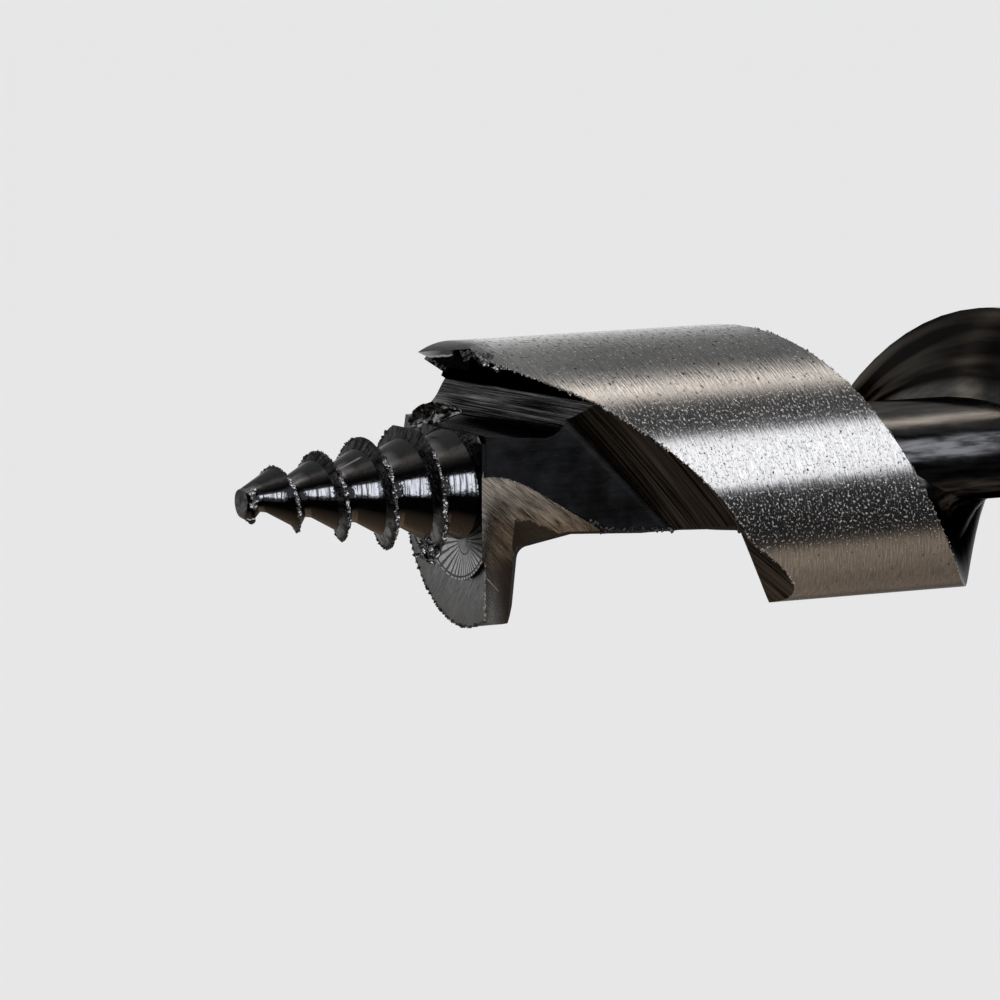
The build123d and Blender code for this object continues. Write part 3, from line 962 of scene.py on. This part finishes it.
def crest_burrs(crests):
    """Glossy rolled metal on the thread's crests, at both of its ends and behind the spur."""
    near_crests = [ends for ends in crests if faces_camera(ends)]
    behind_spur = along_line(start=(0.0, -3.0, 9.15), run=(2.3, -1.2, -0.75), reach=0.8, spread=0.10)
    beads = Beads()
    beads.smears(near_crests, spacing=0.12, spread=0.05, sizes=(0.08, 0.18))
    beads.heap(22, on_first_lip, sizes=(0.09, 0.20), stretch=(1.3, 0.8, 0.8), detail=2, rough=0.4)
    beads.heap(9, on_nub, sizes=(0.18, 0.28), stretch=(1.1, 0.9, 0.9), detail=3, rough=0.25)
    beads.heap(52, on_torn_end, sizes=(0.16, 0.34), stretch=(1.6, 0.7, 0.7), detail=3, rough=0.35)
    beads.heap(12, behind_spur, sizes=(0.15, 0.32), stretch=(1.5, 0.8, 0.7), detail=3, rough=0.45)
    beads.finish("crest_burrs", BURR_GLOSSY, smooth=True)


def torn_burrs():
    """Dark torn metal behind the spur, and nicks under its point."""
    behind_spur = along_line(start=(-0.8, -2.6, 9.45), run=(2.6, -1.3, -0.55), reach=0.7, spread=0.12)
    under_point = along_line(start=(-2.85, -1.5, 9.16), run=(1.0, -0.5, -0.72), reach=1.0, spread=0.05)
    beads = Beads()
    beads.heap(34, behind_spur, sizes=(0.10, 0.22), stretch=(1.2, 0.8, 0.8), detail=2, rough=0.5)
    beads.heap(10, under_point, sizes=(0.06, 0.13), stretch=(1.4, 0.8, 0.8), detail=2, rough=0.4)
    beads.finish("torn_burrs", BURR_DARK)


def chip_point(t, w, side):
    """Point of the chip: t is 0 to 1 along it, w is 0 to 1 across it, side is -1 or 1."""
    spine = Vector((-0.6 + 0.4 * t, 6.7 - 7.7 * t, 3.15 + 2.9 * t - 0.8 * t * t))
    width = 0.12 + 0.80 * sin(pi * min(1.0, 0.06 + t * 0.92)) ** 0.8
    thick = side * (0.10 + 0.10 * sin(pi * w)) * min(1.0, width * 2)
    off = w - 0.35
    curl = 0.5 * (off * 2) ** 2 * width
    crumple = noise.noise(Vector((t * 9, off * 4, 3.3))) * 0.34 * min(1.0, width)
    level = Vector((-curl + crumple + thick, 0.25 * off * width, 1.55 * off * width + crumple * 0.6))
    return spine + level


def chip():
    """Curled chip left standing on the front edge of the pocket's floor."""
    along, across = 44, 14
    mesh = bmesh.new()
    sides = []
    for side in (-1, 1):
        grid = []
        for i in range(along + 1):
            points = [chip_point(i / along, j / across, side) for j in range(across + 1)]
            grid.append([mesh.verts.new(to_frame(*point)) for point in points])
        sides.append(grid)
    inner, outer = sides
    for grid, flip in ((inner, False), (outer, True)):
        for i in range(along):
            for j in range(across):
                ring = [grid[i][j], grid[i + 1][j], grid[i + 1][j + 1], grid[i][j + 1]]
                mesh.faces.new(ring[::-1] if flip else ring)
    rim = [(i, 0) for i in range(along)] + [(along, j) for j in range(across)]
    rim += [(i, across) for i in range(along, 0, -1)] + [(0, j) for j in range(across, 0, -1)]
    for (i, j), (k, m) in zip(rim, rim[1:] + rim[:1]):
        mesh.faces.new([inner[i][j], outer[i][j], outer[k][m], inner[k][m]])
    bmesh.ops.recalc_face_normals(mesh, faces=mesh.faces)
    data = bpy.data.meshes.new("curled_chip")
    mesh.to_mesh(data)
    mesh.free()
    data.materials.append(CHIP_BLACK)
    for face in data.polygons:
        face.use_smooth = True
    add_piece("curled_chip", data)


CRESTS = crest_segments()
land_burrs()
rim_burrs()
thread_burrs(CRESTS)
crest_burrs(CRESTS)
torn_burrs()
chip()

# Camera, placed as the photograph was taken, with places and distances in metres
TARGET = Vector((-0.097938, 0, 0.008643))
CAMERA_AZIMUTH = radians(-24.086)
CAMERA_ELEVATION = radians(9.391)
CAMERA_DISTANCE = 0.439088
FOCAL_LENGTH = 226.327
SENSOR_WIDTH = 36


def heading(azimuth, elevation):
    """Direction from the bit for an azimuth and an elevation in radians."""
    level = cos(elevation)
    return Vector((sin(azimuth) * level, -cos(azimuth) * level, sin(elevation)))


def face_target(thing, direction, distance):
    """Puts a camera or a light at a distance from the target, looking at it."""
    thing.location = TARGET + direction * distance
    thing.rotation_euler = (-direction).to_track_quat("-Z", "Y").to_euler()
    bpy.context.scene.collection.objects.link(thing)


def photo_camera():
    lens = bpy.data.cameras.new("camera")
    lens.lens = FOCAL_LENGTH
    lens.sensor_width = SENSOR_WIDTH
    lens.clip_start = 0.01
    camera = bpy.data.objects.new("camera", lens)
    face_target(camera, heading(CAMERA_AZIMUTH, CAMERA_ELEVATION), CAMERA_DISTANCE)
    bpy.context.scene.camera = camera


def softbox(name, azimuth, elevation, width, height, radiance, colour, distance=0.6):
    """Area light that faces the head of the bit from an azimuth and an elevation in degrees."""
    data = bpy.data.lights.new(name, "AREA")
    data.shape = "RECTANGLE"
    data.size = width
    data.size_y = height
    data.energy = radiance * pi * width * height
    data.color = colour
    light = bpy.data.objects.new(name, data)
    face_target(light, heading(radians(azimuth), radians(elevation)), distance)


photo_camera()
softbox("key", azimuth=24, elevation=14, width=0.34, height=0.40, radiance=0.45, colour=(0.97, 0.98, 1.0))

# Surroundings. Reflections see long strips of light laid parallel to the bit, listed by the
# angle round its axis in degrees: 0 towards the camera's side, 90 overhead, 180 behind.
STUDIO = (
    (-180, (0.42, 0.42, 0.42)),
    (-168, (0.38, 0.38, 0.375)),
    (-158, (0.06, 0.055, 0.05)),
    (-140, (0.012, 0.011, 0.010)),
    (-50, (0.010, 0.010, 0.010)),
    (-9, (0.018, 0.018, 0.019)),
    (-5, (0.60, 0.61, 0.64)),
    (33, (0.64, 0.65, 0.68)),
    (38, (0.08, 0.08, 0.085)),
    (46, (0.03, 0.03, 0.03)),
    (92, (0.04, 0.04, 0.04)),
    (102, (0.075, 0.075, 0.075)),
    (130, (0.105, 0.105, 0.105)),
    (150, (0.20, 0.20, 0.20)),
    (165, (0.42, 0.42, 0.42)),
)
# Warm strip overhead and tan bench below, both fading towards the screw's end of the room
WARM = (
    (-180, (0.0, 0.0, 0.0)),
    (-150, (0.0, 0.0, 0.0)),
    (-138, (0.09, 0.07, 0.054)),
    (-110, (0.08, 0.062, 0.047)),
    (-82, (0.125, 0.099, 0.076)),
    (-70, (0.125, 0.099, 0.076)),
    (-59, (0.008, 0.006, 0.005)),
    (-45, (0.0, 0.0, 0.0)),
    (65, (0.0, 0.0, 0.0)),
    (76, (0.48, 0.43, 0.385)),
    (82, (0.54, 0.49, 0.44)),
    (92, (0.14, 0.13, 0.12)),
    (102, (0.0, 0.0, 0.0)),
)
STRIP_GAIN = 2.0
PALE = (0.84, 0.84, 0.845)


def strip_ramp(room, turned, stops):
    """Colour ramp over the angle round the bit."""
    strips = room.node("ShaderNodeValToRGB")
    ramp = strips.color_ramp
    ramp.elements.remove(ramp.elements[-1])
    for place, (turn, colour) in enumerate(stops):
        position = (turn + 180) / 360
        element = ramp.elements[0] if place == 0 else ramp.elements.new(position)
        element.position = position
        element.color = (*colour, 1)
    room.feed(strips.inputs["Fac"], turned)
    return strips.outputs["Color"]


def scaled(room, colour, amount):
    made = room.node("ShaderNodeVectorMath", operation="SCALE")
    room.feed(made.inputs[0], colour)
    room.feed(made.inputs["Scale"], amount)
    return made.outputs["Vector"]


def studio_world():
    """World in which glossy rays see the strips of light and all other rays one pale colour."""
    world = bpy.data.worlds.new("studio")
    bpy.context.scene.world = world
    world.use_nodes = True
    world.node_tree.nodes.clear()
    room = Shader(world.node_tree)
    direction = room.node("ShaderNodeTexCoord")
    split = room.node("ShaderNodeSeparateXYZ")
    room.feed(split.inputs[0], direction.outputs["Generated"])
    towards_shank, behind, up = split.outputs
    angle = room.math("ARCTAN2", up, room.times(behind, -1.0))
    # Towards the screw's end of the room the front strip hangs lower
    near_front = room.band(angle, -0.6, 0.9, 0.4)
    lower = room.times(room.remap(towards_shank, 0.3, 0.0, 0.0, 0.028), near_front)
    turned = room.plus(room.remap(angle, -pi, pi), lower)
    rising = room.remap(towards_shank, 0.0, 0.34, 0.3, 1.65)
    fading = room.remap(towards_shank, 0.415, 0.445, 1.0, 0.5)
    warm = scaled(room, strip_ramp(room, turned, WARM), room.times(rising, fading))
    total = room.node("ShaderNodeVectorMath", operation="ADD")
    room.feed(total.inputs[0], strip_ramp(room, turned, STUDIO))
    room.feed(total.inputs[1], warm)
    path = room.node("ShaderNodeLightPath")
    strips = scaled(room, total.outputs["Vector"], STRIP_GAIN)
    background = room.node("ShaderNodeBackground")
    room.feed(background.inputs["Color"], room.blend(path.outputs["Is Glossy Ray"], PALE, strips))
    output = room.node("ShaderNodeOutputWorld")
    room.feed(output.inputs["Surface"], background.outputs["Background"])


# Floor, in metres, well below the bit
FLOOR_Z = -0.15
FLOOR_REACH = 6.0


def pale_floor():
    """Sheet of matt pale paper, lit by the pale room and left out of reflections."""
    data = bpy.data.meshes.new("floor")
    signs = ((-1, -1), (1, -1), (1, 1), (-1, 1))
    data.from_pydata([(x * FLOOR_REACH, y * FLOOR_REACH, FLOOR_Z) for x, y in signs], [], [(0, 1, 2, 3)])
    paper = bpy.data.materials.new("paper")
    paper.use_nodes = True
    sheet = paper.node_tree.nodes["Principled BSDF"].inputs
    sheet["Base Color"].default_value = (0.95, 0.95, 0.955, 1)
    sheet["Roughness"].default_value = 1.0
    sheet["Specular IOR Level"].default_value = 0.0
    data.materials.append(paper)
    floor = bpy.data.objects.new("floor", data)
    bpy.context.scene.collection.objects.link(floor)
    floor.visible_glossy = False


studio_world()
pale_floor()

bpy.context.scene.view_settings.view_transform = "Standard"
